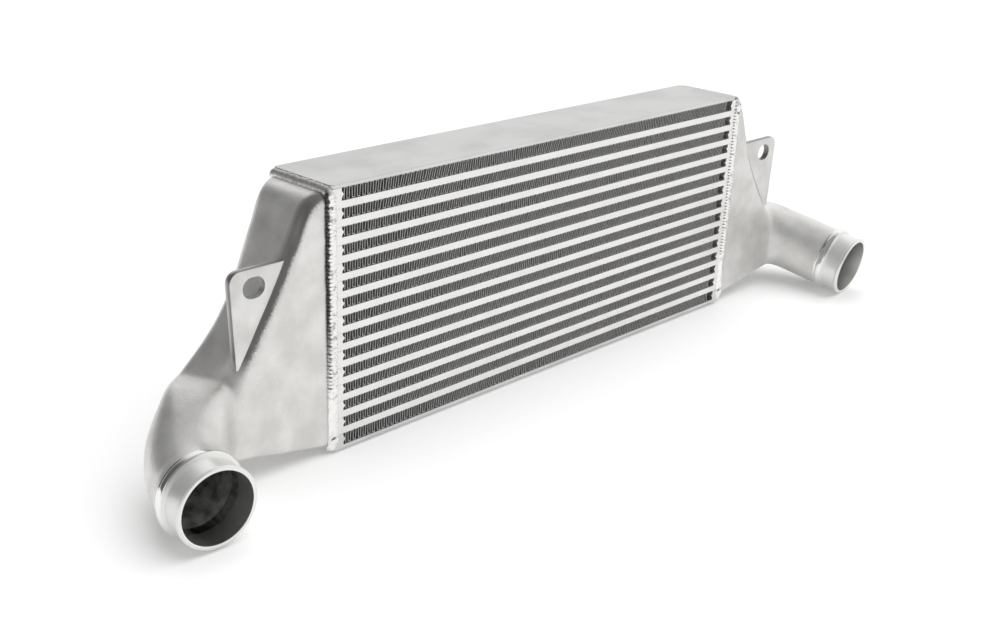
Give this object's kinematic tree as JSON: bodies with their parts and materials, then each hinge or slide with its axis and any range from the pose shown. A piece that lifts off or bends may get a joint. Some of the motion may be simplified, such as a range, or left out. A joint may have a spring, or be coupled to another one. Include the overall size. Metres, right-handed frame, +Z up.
{
  "type": "intercooler",
  "caption": "Bar-and-plate air-to-air intercooler: a brazed finned core with a cast tank at each end, each with a forward-facing elbow outlet and a slotted mounting tab.",
  "frame": {"origin": "centre of the core's underside", "axes": "+X along the core from the left tank to the right tank, +Z up through the stack of tubes, and -Y the way the outlets and the core's front face look"},
  "size_m": [0.863, 0.1482, 0.221],
  "materials": {
    "rolled_aluminium": "satin rolled sheet, lightly mottled and worn",
    "bar_aluminium": "satin milled bar edges, brazed",
    "fin_aluminium": "thin folded sheet, dull, dark between the folds",
    "cast_aluminium": "as-cast satin grey with soft mottling",
    "machined_aluminium": "turned and polished",
    "weld_aluminium": "bright rippled weld bead"
  },
  "bodies": {
    "root": {"bottom_plate": "rolled_aluminium", "air_fin_01": "fin_aluminium", "air_fin_02": "fin_aluminium", "air_fin_03": "fin_aluminium", "air_fin_04": "fin_aluminium", "air_fin_05": "fin_aluminium", "air_fin_06": "fin_aluminium", "air_fin_07": "fin_aluminium", "air_fin_08": "fin_aluminium", "air_fin_09": "fin_aluminium", "air_fin_10": "fin_aluminium", "air_fin_11": "fin_aluminium", "air_fin_12": "fin_aluminium", "air_fin_13": "fin_aluminium", "air_fin_14": "fin_aluminium", "air_fin_15": "fin_aluminium", "charge_tube_01": "bar_aluminium", "charge_tube_02": "bar_aluminium", "charge_tube_03": "bar_aluminium", "charge_tube_04": "bar_aluminium", "charge_tube_05": "bar_aluminium", "charge_tube_06": "bar_aluminium", "charge_tube_07": "bar_aluminium", "charge_tube_08": "bar_aluminium", "charge_tube_09": "bar_aluminium", "charge_tube_10": "bar_aluminium", "charge_tube_11": "bar_aluminium", "charge_tube_12": "bar_aluminium", "charge_tube_13": "bar_aluminium", "charge_tube_14": "bar_aluminium", "turbulator_01": "fin_aluminium", "turbulator_02": "fin_aluminium", "turbulator_03": "fin_aluminium", "turbulator_04": "fin_aluminium", "turbulator_05": "fin_aluminium", "turbulator_06": "fin_aluminium", "turbulator_07": "fin_aluminium", "turbulator_08": "fin_aluminium", "turbulator_09": "fin_aluminium", "turbulator_10": "fin_aluminium", "turbulator_11": "fin_aluminium", "turbulator_12": "fin_aluminium", "turbulator_13": "fin_aluminium", "turbulator_14": "fin_aluminium", "top_plate": "rolled_aluminium", "left_end_tank": "cast_aluminium", "left_outlet_spigot": "machined_aluminium", "left_rim_weld": "weld_aluminium", "right_end_tank": "cast_aluminium", "right_outlet_spigot": "machined_aluminium", "right_rim_weld": "weld_aluminium"}
  },
  "joints": []
}
